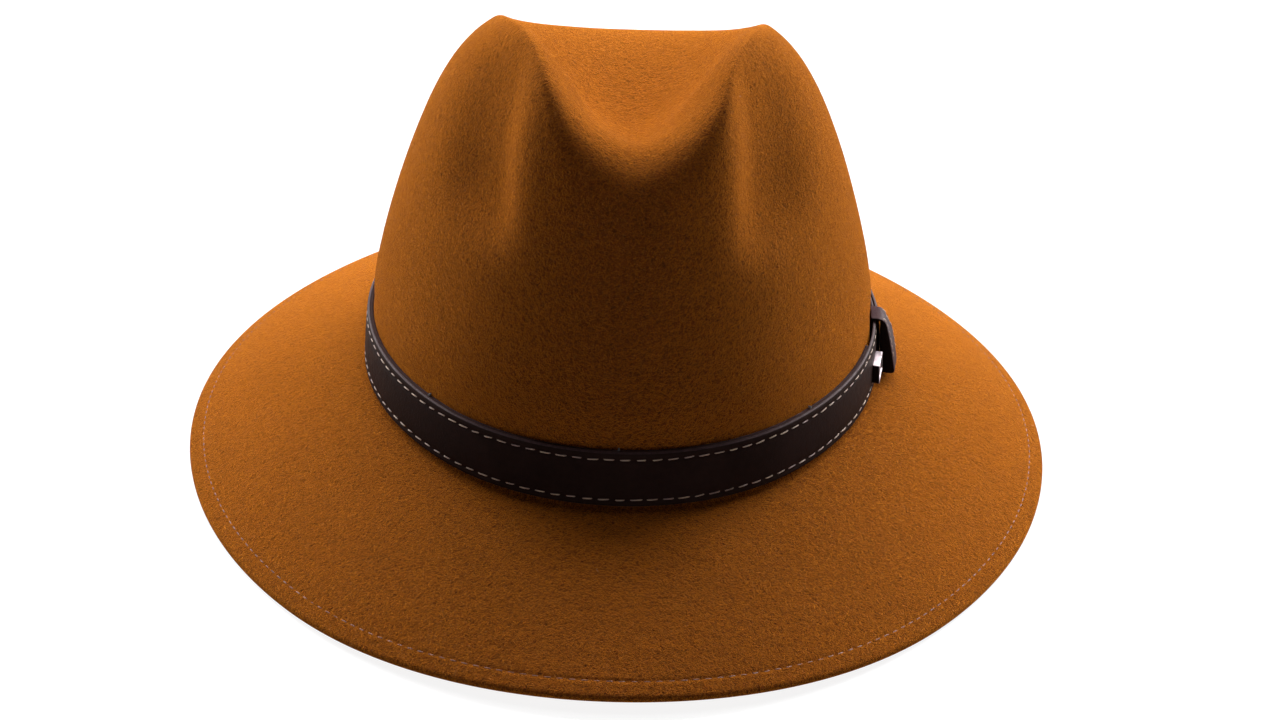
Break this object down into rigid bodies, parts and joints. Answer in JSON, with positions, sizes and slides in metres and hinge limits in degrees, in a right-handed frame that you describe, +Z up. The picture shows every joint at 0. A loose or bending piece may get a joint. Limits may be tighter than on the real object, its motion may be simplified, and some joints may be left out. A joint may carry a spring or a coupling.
{
  "type": "fedora hat",
  "caption": "Brown felt fedora with a centre dent, front pinches, an even brim and a stitched leather hat band with a sliding keeper and a small metal badge.",
  "frame": {"origin": "on the surface that the hat rests on, under the middle of its outline", "axes": "+Z up, -Y the front of the hat, +X the wearer's left"},
  "size_m": [0.304, 0.336, 0.1581],
  "materials": {
    "felt_body": "caramel brown wool felt with a short soft nap",
    "brim_edge_thread": "tonal brown thread",
    "band_strap": "very dark brown smooth leather, satin",
    "band_backing": "dark brown suede side",
    "band_thread_upper": "pinkish tan waxed thread",
    "band_thread_lower": "pinkish tan waxed thread",
    "band_tacks": "dark brown thread",
    "keeper_loop": "very dark brown smooth leather, satin",
    "keeper_thread": "pinkish tan waxed thread",
    "badge_plate": "bright nickel, finely brushed",
    "badge_prongs": "plain nickel",
    "badge_backplate": "plain steel",
    "sweatband": "mid brown smooth leather",
    "sweatband_reed": "pale plastic",
    "reed_tape": "dark woven tape",
    "sweatband_thread": "pinkish tan thread",
    "back_seam_stitches": "dark brown thread",
    "sweatband_bow": "dark brown satin ribbon",
    "size_label": "blank ivory woven label",
    "lining_side": "bronze satin",
    "lining_tip": "bronze satin",
    "lining_piping": "dark satin piping"
  },
  "bodies": {
    "hat": {"felt_body": "felt_body", "brim_edge_thread": "brim_edge_thread", "band_strap": "band_strap", "band_backing": "band_backing", "band_thread_upper": "band_thread_upper", "band_thread_lower": "band_thread_lower", "band_tacks": "band_tacks", "badge_plate": "badge_plate", "badge_prongs": "badge_prongs", "badge_backplate": "badge_backplate", "sweatband": "sweatband", "sweatband_reed": "sweatband_reed", "reed_tape": "reed_tape", "sweatband_thread": "sweatband_thread", "back_seam_stitches": "back_seam_stitches", "sweatband_bow": "sweatband_bow", "size_label": "size_label", "lining_side": "lining_side", "lining_tip": "lining_tip", "lining_piping": "lining_piping"},
    "keeper": {"keeper_loop": "keeper_loop", "keeper_thread": "keeper_thread"}
  },
  "joints": [
    {"name": "keeper_slide", "type": "hinge", "parent": "hat", "child": "keeper", "pos_m": [-0.02571, 0, 0.0388], "axis": [0, 0, 1], "range_deg": [-1.4, 9]}
  ]
}
